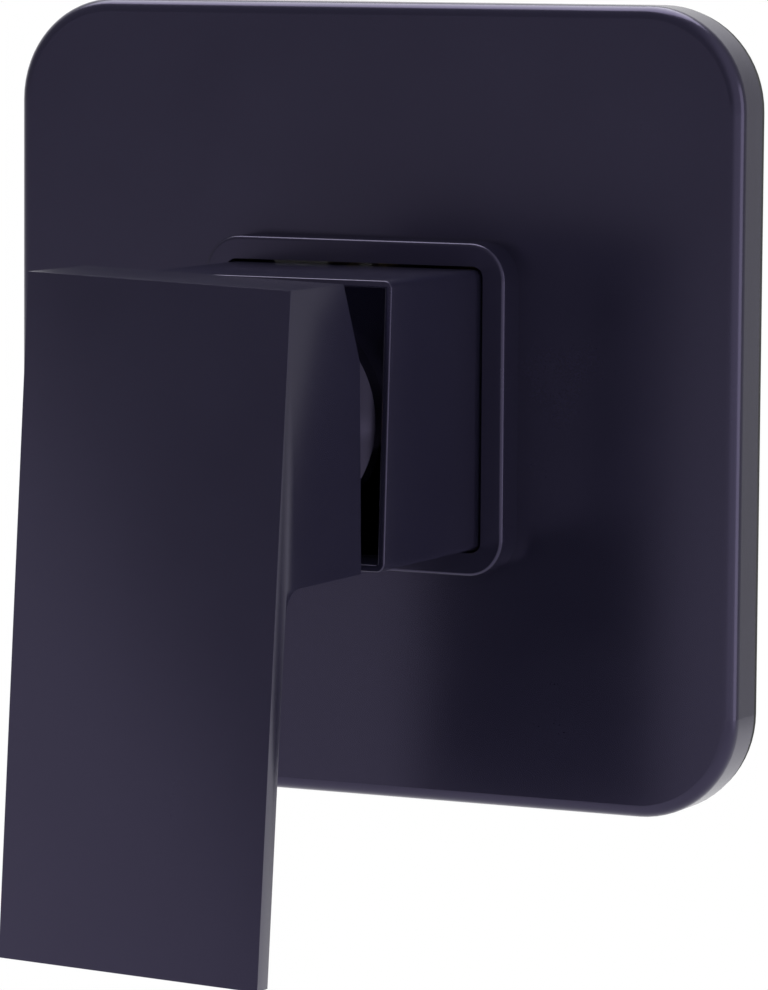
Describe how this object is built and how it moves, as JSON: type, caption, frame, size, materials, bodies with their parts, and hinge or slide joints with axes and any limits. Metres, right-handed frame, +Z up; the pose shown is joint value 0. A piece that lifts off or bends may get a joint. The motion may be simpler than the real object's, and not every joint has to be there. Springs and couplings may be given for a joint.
{
  "type": "concealed shower mixer",
  "caption": "Concealed single-lever shower mixer: a square wall plate with rounded corners, a square sleeve, a flat L-shaped lever and a brass body with threaded ports in the wall.",
  "frame": {"origin": "where the cartridge's axis meets the finished wall's surface, which is the plane y = 0 that the plate's gasket lies on", "axes": "+X to the right seen from the room, +Y into the wall, +Z up; the lever stands out to -Y"},
  "size_m": [0.15, 0.1472, 0.1702],
  "materials": {
    "black_coat": "satin black powder coat with a faint violet cast",
    "brass": "cast and machined brass, unplated",
    "steel": "plain stainless",
    "ceramic": "lapped alumina",
    "white_plastic": "moulded",
    "red_plastic": "moulded",
    "black_plastic": "moulded",
    "rubber": "moulded",
    "foam": "closed-cell foam, cut edges",
    "fibre": "pressed fibre washer"
  },
  "bodies": {
    "valve": {"valve_body": "brass", "outlet_plug": "brass", "plug_seal": "fibre", "square_sleeve": "black_coat", "dome_cap": "black_coat", "cartridge_nut": "brass", "cartridge_housing": "white_plastic", "cartridge_base": "white_plastic", "base_seals": "rubber", "fixed_disc": "ceramic", "limit_ring": "red_plastic"},
    "plate": {"wall_plate": "black_coat", "plate_gasket": "foam", "sleeve_seal": "rubber"},
    "rotor": {"stem_rotor": "white_plastic", "rotor_seal": "rubber", "pivot_pin": "steel"},
    "lever": {"stem": "brass", "lever_handle": "black_coat", "lever_screw": "steel", "screw_plug": "black_plastic"},
    "disc": {"disc_carrier": "white_plastic", "moving_disc": "ceramic"}
  },
  "joints": [
    {"name": "plate_slide", "type": "slide", "parent": "valve", "child": "plate", "axis": [0, -1, 0], "range_m": [0, 0.018]},
    {"name": "lever_swivel", "type": "hinge", "parent": "valve", "child": "rotor", "pos_m": [0, -0.03, 0], "axis": [0, 1, 0], "range_deg": [-51.9, 48.1]},
    {"name": "lever_tilt", "type": "hinge", "parent": "rotor", "child": "lever", "pos_m": [0, -0.038, 0], "axis": [-0.9995, 0, 0.0332], "range_deg": [0, 25]},
    {"name": "disc_slide", "type": "slide", "parent": "rotor", "child": "disc", "axis": [-0.0332, 0, -0.9995], "range_m": [0, 0.0049]}
  ],
  "couplings": [
    {"joint": "disc_slide", "follows": "lever_tilt", "m_per_rad": 0.011}
  ]
}
